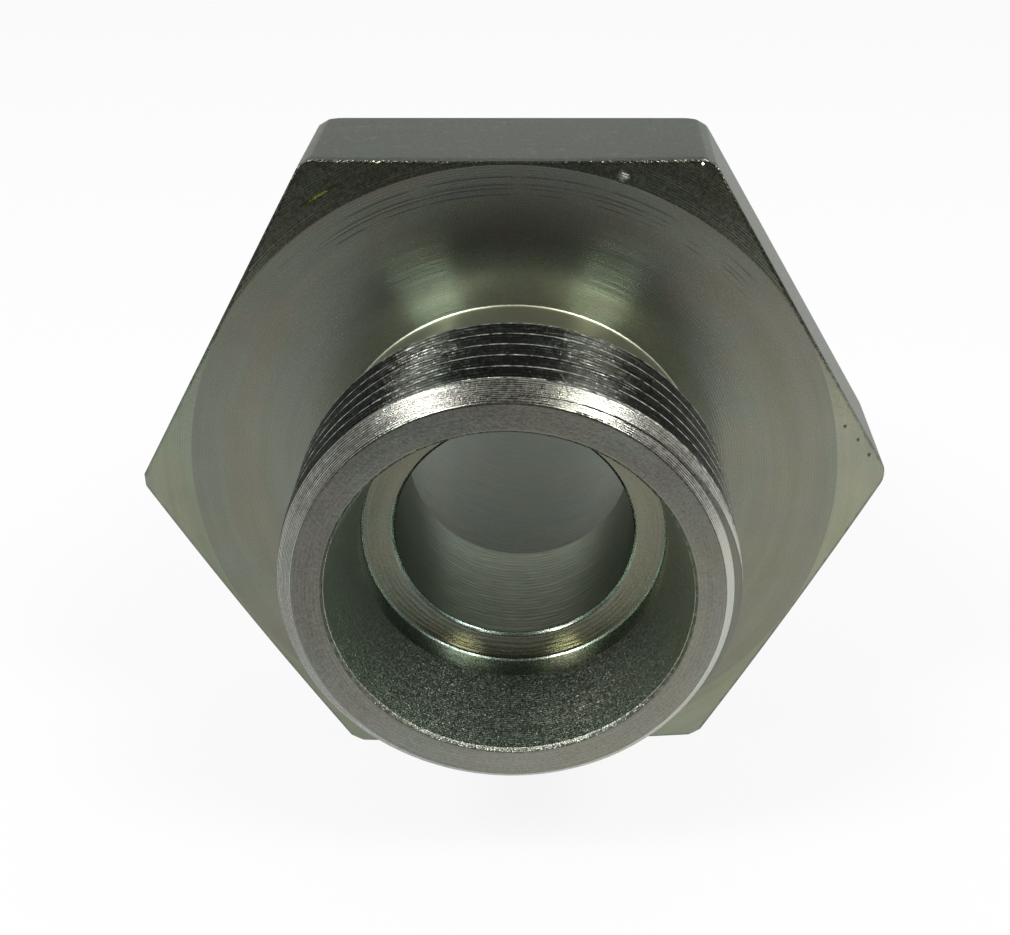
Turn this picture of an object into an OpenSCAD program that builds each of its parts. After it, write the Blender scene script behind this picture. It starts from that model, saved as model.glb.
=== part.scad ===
// Straight hydraulic adapter, turned in one piece from hexagonal steel bar.
// A 24 degree cone tube end and a parallel stud end stand on either side of the hexagon,
// and one stepped passage runs through all three.
// The axis lies along Y, with the tube end towards -Y. The origin is on the axis, in the
// front face of the hexagon, and the part rests on the hexagon's lower flat.

/* [Hexagon] */
// Width across the flats
hex_flats = 41; // [38:1:50]
// Thickness along the axis
hex_thickness = 9.5; // [7:0.5:20]
// Radial depth turned off each corner
hex_corner_cut = 0.2; // [0.1:0.05:1.5]
// Width of the turned front face's margin inside the flats
hex_front_margin = 0.2; // [0.1:0.1:1.5]
// Angle of the shallow front chamfer, from the front face
hex_front_angle = 7; // [3:1:30]
// Height of the small chamfer on the rear corners
hex_rear_chamfer = 0.3; // [0.2:0.1:1.5]

/* [Tube end] */
// Outside diameter of the tube end's thread
tube_thread_d = 26; // [24.5:0.5:32]
// Length from the front face of the hexagon to the end face
tube_end_length = 14.5; // [11:0.5:24]
// Width and height of the end chamfer
tube_end_chamfer = 1; // [0.5:0.1:1.5]
// Diameter of the smooth undercut beside the hexagon
tube_undercut_d = 23.4; // [21.5:0.1:24]
// Distance from the hexagon to the first full thread
tube_undercut_width = 5.5; // [3:0.5:8]
// Fillet between the undercut and the hexagon
tube_fillet = 0.2; // [0.1:0.1:1]

/* [Tube socket] */
// Diameter of the cylinder that takes the tube
socket_d = 18.1; // [16:0.1:19]
// Depth of the flat tube stop below the end face
stop_depth = 7.5; // [5:0.5:12]
// Length of the cylinder in front of the tube stop
socket_land = 1.65; // [0.5:0.05:3]
// Included angle of the sealing cone
cone_angle = 24; // [20:1:30]
// Edge break around the mouth of the cone
mouth_edge = 0.2; // [0.1:0.05:0.5]

/* [Passage] */
// Diameter of the bore behind the tube stop
bore_d = 14.2; // [10:0.1:15.5]
// Edge break where the bore meets the tube stop
bore_edge = 0.1; // [0.05:0.05:0.5]
// Distance from the hexagon's front face to the rear end of the bore
bore_end = 3; // [-4:0.1:8]
// Diameter of the bore in the stud end
stud_bore_d = 17; // [15.5:0.5:24]
// Included angle of the drill point between the two bores
drill_angle = 118; // [90:1:140]
// Edge break around the stud end's bore
stud_bore_edge = 0.5; // [0.2:0.1:1]

/* [Stud end] */
// Outside diameter of the stud's thread
stud_thread_d = 33; // [31:0.5:36]
// Length from the rear face of the hexagon to the end of the stud
stud_length = 16; // [12:1:26]
// Width and height of the end chamfer
stud_chamfer = 1.5; // [0.5:0.1:2]
// Diameter of the smooth undercut beside the hexagon
stud_undercut_d = 29.8; // [28:0.1:30.5]
// Distance from the hexagon to the first full thread
stud_undercut_width = 4.5; // [3:0.5:8]
// Fillet between the undercut and the hexagon
stud_fillet = 0.5; // [0.2:0.1:1]

/* [Hidden] */
$fn = 120;
plated_steel = [0.53, 0.54, 0.47];
// How far a solid or a cut runs into or past its neighbour
overlap = 1;
hex_corner_r = hex_flats / 2 / cos(30) - hex_corner_cut;
hex_front_r = hex_flats / 2 - hex_front_margin;
hex_front_depth = (hex_corner_r - hex_front_r) * tan(hex_front_angle);
socket_r = socket_d / 2;
cone_length = stop_depth - socket_land - mouth_edge;
mouth_r = socket_r + cone_length * tan(cone_angle / 2);
bore_r = bore_d / 2;
stud_bore_r = stud_bore_d / 2;
drill_point_length = (stud_bore_r - bore_r) / tan(drill_angle / 2);

// A bar of hexagonal section with a flat at the top and bottom, its corners turned down
// and chamfered by one revolved profile
module hexagon() {
    rotate([-90, 0, 0])
        intersection() {
            cylinder(d = hex_flats / cos(30), h = hex_thickness, $fn = 6);
            rotate_extrude()
                polygon([
                    [0, 0],
                    [hex_front_r, 0],
                    [hex_corner_r, hex_front_depth],
                    [hex_corner_r, hex_thickness - hex_rear_chamfer],
                    [hex_corner_r - hex_rear_chamfer, hex_thickness],
                    [0, hex_thickness]
                ]);
        }
}

// A turned end that stands on a face of the hexagon at z = 0: filleted undercut,
// run-out at 45 degrees, thread diameter and end chamfer
module turned_end(thread_d, length, chamfer, undercut_d, undercut_width, fillet) {
    thread_r = thread_d / 2;
    undercut_r = undercut_d / 2;
    run_out = thread_r - undercut_r;
    rotate_extrude()
        polygon([
            [0, -overlap],
            [undercut_r, -overlap],
            [undercut_r, undercut_width - run_out],
            [thread_r, undercut_width],
            [thread_r, length - chamfer],
            [thread_r - chamfer, length],
            [0, length]
        ]);
    rotate_extrude()
        difference() {
            translate([undercut_r - overlap, -overlap])
                square(overlap + fillet);
            translate([undercut_r + fillet, fillet])
                circle(fillet);
        }
}

module tube_end() {
    rotate([90, 0, 0])
        turned_end(tube_thread_d, tube_end_length, tube_end_chamfer,
                   tube_undercut_d, tube_undercut_width, tube_fillet);
}

module stud_end() {
    translate([0, hex_thickness, 0])
        rotate([-90, 0, 0])
            turned_end(stud_thread_d, stud_length, stud_chamfer,
                       stud_undercut_d, stud_undercut_width, stud_fillet);
}

// The cut for the whole passage as one revolved profile, from the mouth of the cone
// to the end of the stud
module passage() {
    front = -tube_end_length;
    stop = front + stop_depth;
    rear = hex_thickness + stud_length;
    rotate([-90, 0, 0])
        rotate_extrude()
            polygon([
                [0, front - overlap],
                [mouth_r + mouth_edge + overlap, front - overlap],
                [mouth_r, front + mouth_edge],
                [socket_r, front + mouth_edge + cone_length],
                [socket_r, stop],
                [bore_r + bore_edge, stop],
                [bore_r, stop + bore_edge],
                [bore_r, bore_end],
                [stud_bore_r, bore_end + drill_point_length],
                [stud_bore_r, rear - stud_bore_edge],
                [stud_bore_r + stud_bore_edge + overlap, rear + overlap],
                [0, rear + overlap]
            ]);
}

module adapter_body() {
    color(plated_steel)
        difference() {
            union() {
                hexagon();
                tube_end();
                stud_end();
            }
            passage();
        }
}

adapter_body();
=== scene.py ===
import math

import bmesh
import bpy
from mathutils import Matrix, Vector


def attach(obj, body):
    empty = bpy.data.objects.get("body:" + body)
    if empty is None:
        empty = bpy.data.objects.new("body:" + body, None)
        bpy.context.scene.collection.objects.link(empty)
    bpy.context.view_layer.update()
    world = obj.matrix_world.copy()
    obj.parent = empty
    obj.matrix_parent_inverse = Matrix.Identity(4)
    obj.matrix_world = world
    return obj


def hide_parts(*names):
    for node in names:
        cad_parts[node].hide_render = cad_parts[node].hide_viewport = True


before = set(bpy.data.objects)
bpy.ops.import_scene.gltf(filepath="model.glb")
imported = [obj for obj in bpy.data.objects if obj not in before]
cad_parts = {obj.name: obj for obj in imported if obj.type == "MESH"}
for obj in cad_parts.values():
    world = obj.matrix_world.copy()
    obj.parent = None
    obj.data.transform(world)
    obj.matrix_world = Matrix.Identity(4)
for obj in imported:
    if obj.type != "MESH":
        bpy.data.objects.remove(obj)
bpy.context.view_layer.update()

# The turned blank
# A length of 41 mm hexagonal steel bar is turned at both ends and bored through: the 24 degree
# cone end for an 18 mm tube at the front, the stud end at the back, and one stepped passage.
# Everything is drawn in millimetres, with the axis along Y, and brought to metres at the end.
axis = Vector((0, 1, 0))
facets = 192
# Places along the axis, counted from the front face of the hexagon: the faces, the inner ends
# of the two end chamfers, and the steps of the passage
tube_face, rear_face, stud_face = -14.5, 9.5, 25.5
tube_chamfer, stud_chamfer = -13.5, 24.0
land_front, tube_stop, bore_end = -8.65, -7.0, 3.0
# Radii of the two threads, of the cylinder for the tube and of the circle turned on the hexagon
tube_thread, stud_thread, socket, turned_circle = 13.0, 16.5, 9.05, 20.3
# Radius, place along the axis and rounding of each corner of the section
section = (
    # Tube end: end face, chamfer, thread, run-out and undercut
    (10.45, tube_face, 0.05), (12.0, tube_face, 0.1), (tube_thread, tube_chamfer, 0.1),
    (tube_thread, -5.5, 0.1), (11.7, -4.2, 0.5), (11.7, 0, 0.16),
    # Hexagon: turned face, shallow chamfer of the corners, small chamfer at the back
    (turned_circle, 0, 0), (23.47, 0.39, 0.1), (23.47, 9.2, 0.1), (23.17, rear_face, 0.1),
    # Stud end: undercut, run-out, thread, chamfer and end face
    (14.9, rear_face, 0.5), (14.9, 12.4, 0.5), (stud_thread, 14.0, 0.1),
    (stud_thread, stud_chamfer, 0.1), (15.0, stud_face, 0.1), (9.0, stud_face, 0.05),
    # Passage from the back: stud bore, drill point, bore, tube stop, cylinder and cone
    (8.5, 25.0, 0.05), (8.5, 3.841, 0.1), (7.1, bore_end, 0.3), (7.1, -6.8, 0.05),
    (7.3, tube_stop, 0.05), (socket, tube_stop, 0.25), (socket, land_front, 0),
    (10.25, -14.3, 0.05),
)
blank = bmesh.new()
corners = [blank.verts.new((radius, place, 0)) for radius, place, rounding in section]
blank.faces.new(corners)
for size in sorted({rounding for radius, place, rounding in section} - {0}):
    bmesh.ops.bevel(blank, geom=[c for c, row in zip(corners, section) if row[2] == size],
                    affect="VERTICES", offset=size, segments=3, profile=0.5, material=-1)
bmesh.ops.delete(blank, geom=blank.faces[:], context="FACES_ONLY")
bmesh.ops.spin(blank, geom=blank.verts[:] + blank.edges[:], cent=(0, 0, 0), axis=axis,
               angle=math.tau, steps=facets, use_merge=True)
bmesh.ops.remove_doubles(blank, verts=blank.verts[:], dist=1e-5)
bmesh.ops.recalc_face_normals(blank, faces=blank.faces[:])


# The plating
# Zinc with a thin greenish passivate: satin, a little iridescent, and so thin that every mark
# of the turning tool shows through it. Each kind of surface has its own marks.
class Field:
    """A socket of a material: arithmetic on it adds the nodes."""

    def __init__(self, tree, socket=None):
        self.tree, self.socket = tree, socket

    def node(self, kind, settings, sockets, output=0):
        made = self.tree.nodes.new(kind)
        for name, value in settings.items():
            if name == "stops":
                for number, (place, colour) in enumerate(value):
                    stops = made.color_ramp.elements
                    stop = stops[number] if number < 2 else stops.new(place)
                    stop.position, stop.color = place, (*colour, 1)
            else:
                setattr(made, name, value)
        for name, value in sockets.items():
            if isinstance(value, Field):
                value.feed(made.inputs[name])
            else:
                made.inputs[name].default_value = value
        return Field(self.tree, made.outputs[output])

    def feed(self, socket):
        self.tree.links.new(self.socket, socket)

    def math(self, operation, *values, clamp=False):
        return self.node("ShaderNodeMath", {"operation": operation, "use_clamp": clamp},
                         dict(enumerate(values)))

    def vector(self, operation, *values):
        return self.node("ShaderNodeVectorMath", {"operation": operation},
                         dict(enumerate(values)))

    def scaled(self, amount):
        return self.node("ShaderNodeVectorMath", {"operation": "SCALE"}, {0: self, "Scale": amount})

    def split(self):
        return [self.node("ShaderNodeSeparateXYZ", {}, {0: self}, number) for number in range(3)]

    def ramp(self, low, high, at_low=0.0, at_high=1.0):
        """Goes smoothly from at_low to at_high while the field goes from low to high."""
        return self.node("ShaderNodeMapRange", {"interpolation_type": "SMOOTHSTEP"},
                         {0: self, 1: low, 2: high, 3: at_low, 4: at_high})

    def __add__(self, other):
        return self.math("ADD", self, other)

    def __mul__(self, other):
        return self.math("MULTIPLY", self, other)

    def __sub__(self, other):
        return self.math("SUBTRACT", self, other)

    def __rsub__(self, other):
        return self.math("SUBTRACT", other, self)

    def __truediv__(self, other):
        return self.math("DIVIDE", self, other)

    __radd__, __rmul__ = __add__, __mul__


# Marks on the front face: place right and up, length along the tool marks, width, how far the
# mark leans outward, and its colour
speck = (0.06, 0.06, 0.05)
scars = (
    (6.6, 19.6, 1.1, 0.95, 0.4, (0.5, 0.56, 0.45)),
    (11.2, 20.25, 0.2, 0.2, 0.8, (0.95, 0.95, 0.9)),
    (-11.0, 18.45, 2.6, 0.28, 0.45, (0.17, 0.21, 0.03)),
    (20.6, 3.5, 0.35, 0.3, 0.0, speck),
    (21.5, 2.5, 0.3, 0.25, 0.0, speck),
    (22.3, 1.4, 0.35, 0.3, 0.0, speck),
)
# Half the width across the flats, and how steeply the corners of the hexagon fall away
half_flats = 20.5
corner_fall = math.tan(math.radians(7))
burr_colour = (0.15, 0.158, 0.13, 1)
crystal_size = 0.06
# The passivate's tints, from bluish by way of green and rose to straw
tints = ((0.3, (0.86, 0.98, 1.0)), (0.43, (0.9, 1.0, 0.88)), (0.56, (1.0, 0.93, 0.89)),
         (0.7, (1.0, 0.97, 0.78)))


def plated(name, light=(0.28, 0.285, 0.235), dark=(0.165, 0.17, 0.138), roughness=0.3, metal=1.0,
           width=0.16, slope=0.12, lines=0.12, fine=0.2, torn=0.0, tip=0.0, threaded=False,
           flanks=None, root=None, grain=0.004, grain_size=0.12, specks=0.25, flecks=0.0,
           broken=0.0, sparkle=0.0, film=0.45, hue_shift=0.52, sides=(0.15, 0.0),
           painted_side_light=0.0, rims=(), burred=False, burr_width=0.15, burr_lean=0.38,
           scarred=False, grooves=()):
    """Plated steel, in the colours light and dark. All lengths are in mm.
    Tool marks: width, slope and lines are the width, slope and contrast of those that show, fine
    the slope of the finest ones, torn that of metal torn by the tool, tip a constant lean, and
    threaded keeps the marks in line with a thread. flanks is for deep fine grooves: the radii
    between which their flanks take up more of the surface, the share that they reach, how far
    they lean outward, and their tint. root has the radii between which a painted shade fades
    out, darker in a thread's root and a touch paler beside the hexagon's undercut, and that
    painted shade.
    Zinc: grain and grain_size are the depth and size of its texture, specks, flecks and broken
    the contrast of small spots, pale marks and gaps, sparkle the tilt of its crystals, film the
    strength of the passivate's tints, and hue_shift their hue near the axis. Painted light: sides
    says how much paler it is painted to the right and at the top, and painted_side_light how much it
    is painted paler at both sides where positive and darker where negative, as the lamps and the
    floor light it there.
    Damage: rims are edges (radius, place) with burrs, burred adds the edges of the bar's flats,
    whose burrs lean by burr_lean, burr_width is the width of both, scarred adds the marks of the
    front face, and grooves has the radii of deeper tool marks at its top, with painted shade in
    them."""
    material = bpy.data.materials.new(name)
    material.use_nodes = True
    tree = material.node_tree
    shader = tree.nodes["Principled BSDF"]
    field = Field(tree)
    place = field.node("ShaderNodeTexCoord", {}, {}, "Object").scaled(1000)
    x, y, z = place.split()
    radius = field.math("SQRT", x * x + z * z)
    right, up = x / radius, z / radius
    # The place across the tool marks, on faces, cones and cylinders alike. On a thread it is the
    # radius alone, and each turn has marks of its own
    across = radius if threaded else radius + y * 1.37
    stray = y * 0.7 if threaded else 0.0
    # The direction across them, in the surface
    around = field.node("ShaderNodeCombineXYZ", {}, {0: up, 2: 0 - right})
    normal = field.node("ShaderNodeNewGeometry", {}, {}, "Normal")
    outward = field.vector("CROSS_PRODUCT", normal, around)

    def noise(where, scale, detail):
        return field.node("ShaderNodeTexNoise", {}, {"Vector": where, "Scale": scale,
                                                     "Detail": detail, "Roughness": 0.6}) - 0.5

    def turned(size, drift):
        """Noise drawn out along the tool marks: its size across them, and how soon it changes."""
        where = {0: across / size, 1: right * drift + stray, 2: up * drift}
        return noise(field.node("ShaderNodeCombineXYZ", {}, where), 1.0, 2.0)

    def cloud(size, detail=3.0):
        return noise(place, 1 / size, detail)

    def tilt(direction, amount, start):
        return field.vector("NORMALIZE", field.vector("ADD", start, direction.scaled(amount)))

    def blend(factor, first, second, kind="MIX"):
        return field.node("ShaderNodeMix", {"data_type": "RGBA", "blend_type": kind},
                          {0: factor, 6: first, 7: second}, 2)

    # Tool marks
    wave = field.math("SINE", (across / width + turned(1.1, 1.5) * 1.6) * math.tau)
    ring = wave * (turned(0.45, 2.0) * 1.4 + 0.6)
    lean = ring * (turned(0.7, 1.2) * slope + slope) + tip
    lean = lean + turned(0.06, 6.0) * fine
    if torn:
        lean = lean + cloud(0.4, 2.0) * torn
    speckle = cloud(grain_size)

    # Burrs on the rims, and on the edges of the flats
    gaps = []
    for edge_radius, edge_place in rims:
        off_radius, off_place = radius - edge_radius, y - edge_place
        gaps.append(field.math("SQRT", off_radius * off_radius + off_place * off_place))
    if burred:
        wide, high = field.math("ABSOLUTE", x), field.math("ABSOLUTE", z)
        flat = field.math("MAXIMUM", high, wide * math.cos(math.pi / 6) + high * 0.5)
        gaps.append(half_flats - flat + (y - (radius - turned_circle) * corner_fall) * 0.3)
    burr = None
    for gap in gaps:
        one = (gap + cloud(0.5, 2.0) * burr_width).ramp(burr_width, burr_width * 0.3)
        burr = one if burr is None else field.math("MAXIMUM", burr, one)
    if burred:
        lean = lean + burr * burr_lean

    # Scars and deeper tool marks, both on the hexagon's front alone
    in_front = field.math("LESS_THAN", y, 2.0)
    marks = []
    for scar_x, scar_z, length, breadth, scar_lean, scar_colour in scars if scarred else ():
        scar_radius = math.hypot(scar_x, scar_z)
        along = x * (scar_z / scar_radius) - z * (scar_x / scar_radius)
        off = x * (scar_x / scar_radius) + z * (scar_z / scar_radius) - scar_radius
        off = field.math("SQRT", along * along * (4 / length ** 2) + off * off * (4 / breadth ** 2))
        mark = (off + cloud(0.15, 1.0) * 0.8).ramp(1.2, 0.2) * in_front
        lean = lean + mark * scar_lean
        marks.append((mark, scar_colour))
    groove = None
    for groove_radius in grooves:
        off = field.math("ABSOLUTE", radius + cloud(6.0, 1.0) * 0.05 - groove_radius)
        at_top = (up + cloud(2.5, 1.0) * 1.2).ramp(0.7, 1.0)
        one = off.ramp(0.06, 0.01) * at_top * in_front
        groove = one if groove is None else field.math("MAXIMUM", groove, one)
    if groove:
        lean = lean + groove * 0.08

    leaning = tilt(outward, lean, normal)
    if sparkle or burr:
        crystal = field.node("ShaderNodeTexVoronoi", {"voronoi_dimensions": "3D"},
                             {"Vector": place, "Scale": 1 / crystal_size, "Randomness": 1.0}, "Color")
        facing = field.vector("SUBTRACT", crystal, (0.5, 0.5, 0.5))
        leaning = tilt(facing, burr * 0.2 + sparkle if burr else sparkle, leaning)
    bumped = field.node("ShaderNodeBump", {}, {"Strength": 1.0, "Distance": grain / 1000,
                                               "Height": speckle, "Normal": leaning})

    # Colour
    shade = speckle * specks + ring * lines + cloud(6.0) * 0.5 + turned(0.9, 1.0) * 0.5 + 0.5
    # Painted light: sides paints the colour paler to the right and at the top, and painted_side_light
    # paints both sides paler where positive and darker where negative, standing in for how the lamps
    # and the floor light them
    shade = shade + right * sides[0] + up * sides[1]
    if painted_side_light:
        shade = shade + right * right * painted_side_light
    if flecks:
        shade = shade + cloud(0.8, 1.0).ramp(0.15, 0.22) * flecks
    if broken:
        shade = shade + cloud(0.45, 2.0) * broken
    # Painted shade in the grooves of the deeper tool marks
    if groove:
        shade = shade - groove * 0.5
    # Painted shade: root darkens a thread's root, and paints the hexagon's face a touch paler beside
    # the undercut
    if root:
        inside, outside, painted_root_shade = root
        shade = shade + radius.ramp(inside, outside, painted_root_shade, 0.0)
    colour = blend(field.math("ADD", shade, 0.0, clamp=True), (*dark, 1), (*light, 1))
    tint = turned(2.6, 0.8) * 0.9 + cloud(4.5) * 0.9 + right * 0.08
    tint = tint + radius.ramp(13.0, 18.0, hue_shift, 0.52)
    hue = field.node("ShaderNodeValToRGB", {"stops": tints}, {0: tint})
    colour = blend(film, colour, hue, "MULTIPLY")
    if burr:
        bare = field.math("MULTIPLY", burr, cloud(0.6, 1.0) * 1.5 + 0.7, clamp=True)
        colour = blend(bare, colour, burr_colour)
    for mark, scar_colour in marks:
        colour = blend(mark, colour, (*scar_colour, 1))
    colour.feed(shader.inputs["Base Color"])
    bumped.feed(shader.inputs["Normal"])
    (speckle * 0.3 + roughness).feed(shader.inputs["Roughness"])
    shader.inputs["Metallic"].default_value = metal
    if flanks:
        start, end, most, flank_lean, flank_tint = flanks
        flank = field.node("ShaderNodeBsdfPrincipled", {}, {
            "Base Color": blend(1.0, colour, (*flank_tint, 1), "MULTIPLY"),
            "Normal": tilt(outward, ring * 0.12 + turned(0.12, 1.0) * 0.3 + flank_lean, normal),
            "Metallic": 1.0, "Roughness": 0.16})
        uneven = ring * 0.9 + turned(0.12, 1.0) * 4 + cloud(2.0) + 1
        share = radius.ramp(start, end, 0.0, most) * uneven
        both = field.node("ShaderNodeMixShader", {}, {
            0: share, 1: Field(tree, shader.outputs[0]), 2: flank})
        both.feed(tree.nodes["Material Output"].inputs["Surface"])
    return material


# In every finish, sides and painted_side_light are painted light and shade at the top and at the sides
finishes = {
    # Hexagon's faces: fine rings, deeper beside the undercut, where root paints them a touch paler
    "turned_face": plated(
        "turned_face", light=(0.265, 0.267, 0.226), dark=(0.148, 0.152, 0.124), metal=0.9,
        slope=0.07, lines=0.15, fine=0.06, flanks=(18.2, 12.5, 0.036, 0.88, (0.82, 1.0, 0.8)),
        root=(12.5, 16.0, 0.03), grain=0.001, film=0.5, hue_shift=0.3, burred=True,
        burr_width=0.22, scarred=True, grooves=(18.55, 18.9, 19.15, 19.6)),
    # Corners left by the shallow chamfer: coarser rings, stronger tints
    "corner_chamfer": plated(
        "corner_chamfer", light=(0.35, 0.365, 0.29), dark=(0.15, 0.165, 0.12), roughness=0.25,
        width=0.17, slope=0.09, fine=0.04, grain=0.001, grain_size=0.2, specks=0.1, film=0.5,
        sides=(0.15, 0.15), burred=True, burr_width=0.22, scarred=True),
    # Undercut: zinc painted much paler than on the faces, a painted highlight for the bright band that
    # it mirrors
    "undercut": plated(
        "undercut", light=(0.68, 0.7, 0.55), dark=(0.5, 0.51, 0.4), roughness=0.4, width=0.2,
        slope=0.03, fine=0.05, flanks=(11.0, 11.6, 0.03, -0.88, (1.0, 1.0, 0.8)), grain=0.001,
        specks=0.1),
    # Both end chamfers: torn, with burrs
    "end_chamfer": plated(
        "end_chamfer", light=(0.5, 0.51, 0.46), dark=(0.12, 0.12, 0.11), roughness=0.23,
        width=0.2, slope=0.35, lines=0.7, fine=0.4, torn=0.8, grain=0.008, grain_size=0.16,
        specks=0.8, sides=(0.45, 0.15), painted_side_light=0.15,
        rims=((12.0, tube_face), (tube_thread, tube_chamfer)), burr_width=0.08),
    # Outside of the threads, of which the groove leaves narrow crests: pale, partly a painted
    # highlight along them
    "crest": plated(
        "crest", light=(0.65, 0.66, 0.6), dark=(0.05, 0.053, 0.045), roughness=0.35, width=0.1,
        slope=0.1, fine=0.5, tip=-0.4, grain=0.008, broken=3.5, sparkle=0.5),
    "end_face": plated(
        "end_face", light=(0.285, 0.287, 0.252), dark=(0.115, 0.117, 0.104), roughness=0.4,
        width=0.21, slope=0.05, fine=0.25, grain=0.02, grain_size=0.13, specks=1.4,
        sides=(0.15, -0.2), rims=((12.0, tube_face),), burr_width=0.07),
    "mouth_edge": plated(
        "mouth_edge", light=(0.36, 0.38, 0.33), dark=(0.1, 0.11, 0.09), roughness=0.4,
        broken=1.5, sparkle=0.5, sides=(0.0, -0.3), painted_side_light=-0.6),
    # Sealing cone: grainy zinc that glitters
    "cone": plated(
        "cone", light=(0.46, 0.5, 0.42), dark=(0.13, 0.145, 0.118), roughness=0.4, width=0.18,
        slope=0.1, fine=0.15, grain=0.014, grain_size=0.16, specks=2.0, sparkle=0.4,
        hue_shift=0.42, sides=(0.0, 0.15), painted_side_light=0.7),
    # Land and lip in the mouth: pale green partly from the passivate and partly a painted reflection
    # of a blue-green glow
    "tube_land": plated(
        "tube_land", light=(0.55, 0.62, 0.55), dark=(0.28, 0.32, 0.28), roughness=0.28,
        width=0.3, slope=0.05, fine=0.4, film=0.8, hue_shift=0.32, painted_side_light=-0.4),
    "stop": plated(
        "stop", light=(0.225, 0.23, 0.185), dark=(0.125, 0.13, 0.1), width=0.3, slope=0.06,
        fine=0.2, flanks=(7.0, 8.7, 0.13, -0.88, (1.0, 1.0, 0.62)), hue_shift=0.58,
        sides=(0.15, -0.15)),
    "passage": plated(
        "passage", light=(0.4, 0.435, 0.345), dark=(0.22, 0.243, 0.186), roughness=0.38,
        width=0.5, slope=0.045, lines=0.04, fine=0.2, specks=0.4, hue_shift=0.45),
    "stud_bore": plated(
        "stud_bore", light=(0.155, 0.174, 0.138), dark=(0.108, 0.124, 0.097), roughness=0.42,
        width=0.6, slope=0.03, hue_shift=0.4),
    # Outside of the bar, as it was drawn: no tool marks, but pale flecks, and dark partly of itself
    # and partly as painted shade
    "drawn_flat": plated(
        "drawn_flat", light=(0.112, 0.132, 0.099), dark=(0.058, 0.072, 0.052), roughness=0.42,
        slope=0.0, fine=0.0, grain=0.012, grain_size=0.22, specks=0.7, flecks=0.8, burred=True,
        burr_width=0.22, burr_lean=-0.3),
    # Thread flanks, with painted shade in the root of the groove
    "thread_flank": plated(
        "thread_flank", light=(0.2, 0.21, 0.19), dark=(0.055, 0.061, 0.056), roughness=0.22,
        width=0.13, slope=0.1, fine=0.5, torn=0.38, threaded=True,
        flanks=(11.5, 12.0, 0.03, 0.26, (1.6, 1.6, 1.5)), root=(12.0, 12.5, -0.9),
        grain=0.004, grain_size=0.16, specks=0.3, sparkle=0.1),
}

# The finishes inside the mouth, from the front, each with the place where it ends
inner_finishes = (
    (tube_face + 0.02, "end_face"), (tube_face + 0.17, "mouth_edge"), (land_front + 0.01, "cone"),
    (tube_stop - 0.02, "tube_land"), (tube_stop + 0.02, "stop"), (tube_stop + 0.21, "tube_land"),
    (bore_end - 0.3, "passage"), (stud_face, "stud_bore"),
)
mouth_radius = 10.6
# How far a facet may lie off a face or off the outside of a thread
off_face, off_thread = 0.02, 0.1


def finish_at(radius, place):
    """The finish of the blank's surface at this radius and place along the axis."""
    if radius < mouth_radius:
        return next(finish for end, finish in inner_finishes if place <= end)
    if place < tube_face + 0.03 or place > stud_face - 0.03:
        return "end_face"
    if place < tube_chamfer + 0.05 or place > stud_chamfer + 0.05:
        return "end_chamfer"
    if abs(radius - tube_thread) < off_thread or abs(radius - stud_thread) < off_thread:
        return "crest"
    if radius > turned_circle and place < 0.45:
        return "corner_chamfer"
    if radius > turned_circle and place < rear_face - off_face:
        return "drawn_flat"
    if abs(place) < off_face or abs(place - rear_face) < off_face:
        return "turned_face"
    return "undercut"


slots = list(finishes)
for face in blank.faces:
    centre = face.calc_center_median()
    face.material_index = slots.index(finish_at(math.hypot(centre.x, centre.z), centre.y))


def part(name, shape, materials):
    """An object made of a bmesh, with these materials in its slots."""
    mesh = bpy.data.meshes.new(name)
    shape.to_mesh(mesh)
    shape.free()
    for material in materials:
        mesh.materials.append(material)
    made = bpy.data.objects.new(name, mesh)
    bpy.context.scene.collection.objects.link(made)
    return made


adapter = part("turned_adapter", blank, finishes.values())

# The hexagonal bar
# What is left of the bar between the two turned ends, with a flat at the top and bottom. Its
# drawn corners are rounded, some more than others, and the two chamfers trim them.
bar_radius = half_flats / math.cos(math.pi / 6)
bar_start, bar_length = -20, 55
corner_rounding = (1.45, 1.0, 0.9, 0.6, 0.5, 0.5)
bar = bmesh.new()
bmesh.ops.create_circle(bar, cap_ends=True, segments=6, radius=bar_radius,
                        matrix=Matrix.Translation(axis * bar_start)
                        @ Matrix.Rotation(math.pi / 2, 4, "X") @ Matrix.Rotation(math.pi / 2, 4, "Z"))
rear = bmesh.ops.extrude_face_region(bar, geom=bar.faces[:])["geom"]
bmesh.ops.translate(bar, verts=[g for g in rear if isinstance(g, bmesh.types.BMVert)],
                    vec=axis * bar_length)
bmesh.ops.recalc_face_normals(bar, faces=bar.faces[:])
for number, size in enumerate(corner_rounding):
    where = Vector((math.cos(number * math.pi / 3), math.sin(number * math.pi / 3))) * bar_radius
    long_edges = [e for e in bar.edges if e.calc_length() > bar_length - 5
                  and all((Vector((v.co.x, v.co.z)) - where).length < 0.01 for v in e.verts)]
    bmesh.ops.bevel(bar, geom=long_edges, affect="EDGES", offset=size * math.tan(math.pi / 6),
                    segments=5, profile=0.5, material=-1)
bar_tool = part("bar_tool", bar, [finishes["drawn_flat"]])


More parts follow.
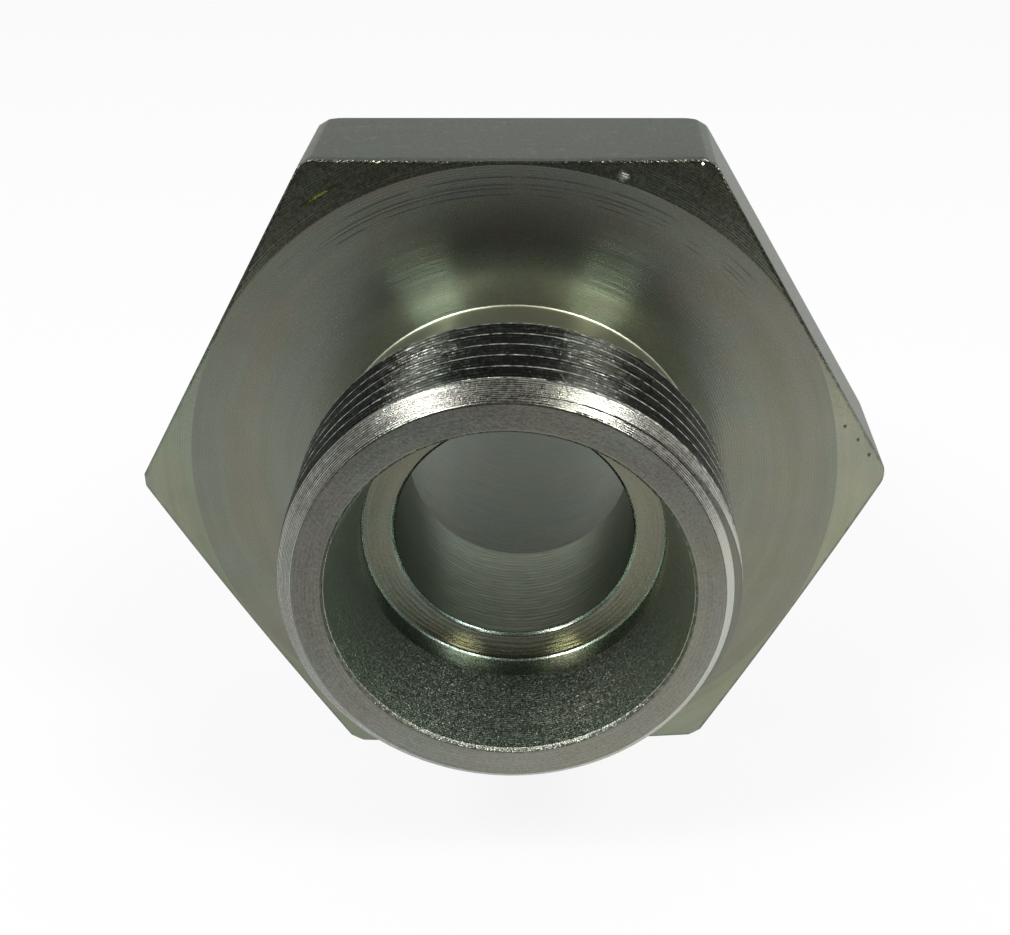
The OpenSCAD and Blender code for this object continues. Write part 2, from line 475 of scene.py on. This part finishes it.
# The threads
# M26 x 1.5 on the tube end and M33 x 2 on the stud, both right-handed and cut with a 60 degree
# tool: the groove starts in the end chamfer and runs out in the smooth undercut by the hexagon.
def thread_tool(name, pitch, outer, start, turns, cuts_in=0.0):
    """The helix that the thread's groove takes out of the blank. Until cuts_in (in turns) it stays
    clear of the blank, and over the next third of a turn it grows from a scratch to a groove."""
    # Depth of the groove and half its width, how far the tool stands above the blank, and half
    # the width of the root
    depth = 0.6134 * pitch
    half = pitch * 0.455
    over = 0.05 * pitch
    flank_slope = math.tan(math.pi / 6)
    root = half - depth * flank_slope
    # Radius and half width, from above the blank to the rounded root, and back on the other side
    points = [(outer + over, half + over * flank_slope),
              (outer - depth + over, root + over * flank_slope),
              (outer - depth + 0.01 * pitch, root * 0.7), (outer - depth, 0)]
    points += [(radius, -half_width) for radius, half_width in points[-2::-1]]
    tool = bmesh.new()
    groove = tool.faces.new([tool.verts.new((radius, start + along, 0)) for radius, along in points])
    bmesh.ops.delete(tool, geom=[groove], context="FACES_ONLY")
    bmesh.ops.spin(tool, geom=tool.verts[:] + tool.edges[:], cent=(0, 0, 0), axis=axis,
                   dvec=axis * (pitch / facets), angle=math.tau, steps=facets)
    one_turn = tool.verts[:] + tool.edges[:] + tool.faces[:]
    for turn in range(1, turns):
        copied = bmesh.ops.duplicate(tool, geom=one_turn)["geom"]
        bmesh.ops.translate(tool, verts=[g for g in copied if isinstance(g, bmesh.types.BMVert)],
                            vec=axis * (pitch * turn))
    bmesh.ops.remove_doubles(tool, verts=tool.verts[:], dist=1e-4)
    # The scratch's share of the width, the turns in which it grows, how much shallower it is, and
    # how far the tool is off the blank before that
    scratch, growth, shallow, clear = 0.1, 0.33, 0.22, 0.6
    for vert in tool.verts if cuts_in else ():
        angle = math.atan2(-vert.co.z, vert.co.x) % math.tau / math.tau
        turn = angle + round((vert.co.y - start) / pitch - angle)
        middle = start + pitch * turn
        grown = min(max((turn - cuts_in) / growth, 0.0), 1.0)
        vert.co.y = middle + (vert.co.y - middle) * (scratch + (1 - scratch) * grown * grown)
        lifted = 1 + (shallow * (1 - grown) if turn >= cuts_in else clear) / outer
        vert.co.x, vert.co.z = vert.co.x * lifted, vert.co.z * lifted
    bmesh.ops.holes_fill(tool, edges=[e for e in tool.edges if e.is_boundary], sides=0)
    bmesh.ops.recalc_face_normals(tool, faces=tool.faces[:])
    return part(name, tool, [finishes["thread_flank"]])


tube_tool = thread_tool("tube_tool", 1.5, tube_thread, -15.325, 9, cuts_in=0.76)
stud_tool = thread_tool("stud_tool", 2.0, stud_thread, 10.9, 8)
for tool, operation in ((bar_tool, "INTERSECT"), (tube_tool, "DIFFERENCE"), (stud_tool, "DIFFERENCE")):
    cut = adapter.modifiers.new(tool.name, "BOOLEAN")
    cut.object, cut.operation, cut.solver = tool, operation, "MANIFOLD"
worked = bpy.data.meshes.new_from_object(adapter.evaluated_get(bpy.context.evaluated_depsgraph_get()))
adapter.modifiers.clear()
for tool in (bar_tool, tube_tool, stud_tool):
    bpy.data.objects.remove(tool)
adapter.data = worked

# Smooth surfaces between sharp edges: steep edges, those of the threads, and two shallow rings
sharp_angle = math.radians(25)
sharp_rings = ((turned_circle, 0), (socket, land_front))
whole = bmesh.new()
whole.from_mesh(worked)
bmesh.ops.remove_doubles(whole, verts=whole.verts[:], dist=1e-4)
flank = worked.materials.find("thread_flank")
for edge in whole.edges:
    if len(edge.link_faces) == 2:
        one, other = (face.material_index == flank for face in edge.link_faces)
        edge.smooth = edge.calc_face_angle() < sharp_angle and one == other
    ends = [(math.hypot(v.co.x, v.co.z), v.co.y) for v in edge.verts]
    for ring_radius, ring_place in sharp_rings:
        if all(abs(r - ring_radius) < 0.02 and abs(y - ring_place) < 0.01 for r, y in ends):
            edge.smooth = False
for face in whole.faces:
    face.smooth = True
whole.transform(Matrix.Scale(0.001, 4))
whole.to_mesh(worked)
whole.free()
weighted = adapter.modifiers.new("true_flats", "WEIGHTED_NORMAL")
weighted.keep_sharp = True
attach(adapter, "root")
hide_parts("adapter_body")

# The floor
# Plain white card under the adapter. It ends 95 mm in front of the hexagon, so that the upper
# part of the turned face mirrors the dark side of the room beyond it.
card_half, card_middle, card_level = 0.3, 0.205, -0.02052
glow_share = 0.88
card = bmesh.new()
bmesh.ops.create_grid(card, x_segments=1, y_segments=1, size=card_half,
                      matrix=Matrix.Translation((0, card_middle, card_level)))
paper = bpy.data.materials.new("white_card")
paper.use_nodes = True
matt = paper.node_tree.nodes["Principled BSDF"]
matt.inputs["Base Color"].default_value = (0.9, 0.9, 0.9, 1)
matt.inputs["Roughness"].default_value = 1.0
matt.inputs["Specular IOR Level"].default_value = 0.0
bright = Field(paper.node_tree)
glow = bright.node("ShaderNodeEmission", {}, {"Color": (1, 1, 1, 1), "Strength": 1.0})


def directly_seen(field):
    """1 for what the camera sees, itself or in metal or glass, and 0 for the light on things."""
    camera_sees, glossy, through = (field.node("ShaderNodeLightPath", {}, {}, name) for name in (
        "Is Camera Ray", "Is Glossy Ray", "Is Transmission Ray"))
    return field.math("MAXIMUM", camera_sees, field.math("MAXIMUM", glossy, through))


# What isn't glow keeps the adapter's shadow
lit = bright.node("ShaderNodeMixShader", {}, {
    0: directly_seen(bright) * glow_share, 1: Field(paper.node_tree, matt.outputs[0]), 2: glow})
lit.feed(paper.node_tree.nodes["Material Output"].inputs["Surface"])
part("floor", card, [paper])

# The room
# White behind the adapter, as the photo has it, and darker in front, where the camera stands.
# The camera sees it white all round, and metal as far up as the white backdrop stands.
world = bpy.data.worlds.new("room")
bpy.context.scene.world = world
world.use_nodes = True
room = Field(world.node_tree)
towards = room.node("ShaderNodeTexCoord", {}, {}, "Generated")
sideways, back, height = towards.split()
towards_camera = (0.0, -0.88, 0.47)
nearness = room.node("ShaderNodeVectorMath", {"operation": "DOT_PRODUCT"},
                     {0: towards, 1: towards_camera}, 1)
level = nearness.ramp(0.85, -0.1, 0.045, 0.65)
# In front, the card goes on below the camera, which shades its middle
card_there = back.ramp(-0.75, -0.88) * height.ramp(-0.22, -0.33, 0.0, 0.6)
unshaded = room.math("ABSOLUTE", sideways + 0.03).ramp(0.02, 0.15, 0.35, 1.0)
backdrop_there = back.ramp(0.1, 0.5) * height.ramp(0.38, 0.15)
camera_ray = room.node("ShaderNodeLightPath", {}, {}, "Is Camera Ray")
seen = room.math("MAXIMUM", camera_ray, directly_seen(room) * backdrop_there)
strength = (level + card_there * unshaded) * (1 - seen) + seen
background = world.node_tree.nodes["Background"]
background.inputs["Color"].default_value = (1, 1, 1, 1)
strength.feed(background.inputs["Strength"])

# The lamps
# Two soft boxes, one on each side and a little in front, above the adapter.
lamp_size, lamp_distance = 0.15, 0.5
for name, direction, brightness in (("left_box", (-0.52, -0.37, 0.77), 19.0),
                                    ("right_box", (0.5, -0.39, 0.77), 17.5)):
    lamp = bpy.data.lights.new(name, "AREA")
    lamp.size = lamp_size
    lamp.energy = brightness * math.pi * lamp_size * lamp_size
    box = bpy.data.objects.new(name, lamp)
    bpy.context.scene.collection.objects.link(box)
    box.location = Vector(direction).normalized() * lamp_distance
    box.rotation_euler = box.location.to_track_quat("Z", "Y").to_euler()

# The camera
# It looks a little down on the tube end, as the photo does. Its focal length and the middle of
# its lens are in pixels of the picture, and its place is in metres.
picture_width, picture_height = 1010, 935
focal_length, lens_across, lens_down = 1573.93, 650, 500
camera_place = (0.0040675, -0.088638, 0.0463019)
yaw, pitch, roll = 0.0484764, -0.494942, 0.0130763
camera = bpy.data.cameras.new("camera")
camera.sensor_width = 36
camera.lens = focal_length * camera.sensor_width / picture_width
camera.shift_x = -(lens_across - picture_width / 2) / picture_width
camera.shift_y = (lens_down - picture_height / 2) / picture_width
camera.clip_start, camera.clip_end = 0.005, 10
eye = bpy.data.objects.new("camera", camera)
bpy.context.scene.collection.objects.link(eye)
ahead = Vector((math.sin(yaw) * math.cos(pitch), math.cos(yaw) * math.cos(pitch), math.sin(pitch)))
level_right = Vector((math.cos(yaw), -math.sin(yaw), 0))
level_up = level_right.cross(ahead)
right = level_right * math.cos(roll) + level_up * math.sin(roll)
up = level_up * math.cos(roll) - level_right * math.sin(roll)
eye.matrix_world = Matrix.Translation(camera_place) @ Matrix(
    (right, up, -ahead)).transposed().to_4x4()
bpy.context.scene.camera = eye
bpy.context.scene.view_settings.view_transform = "Standard"
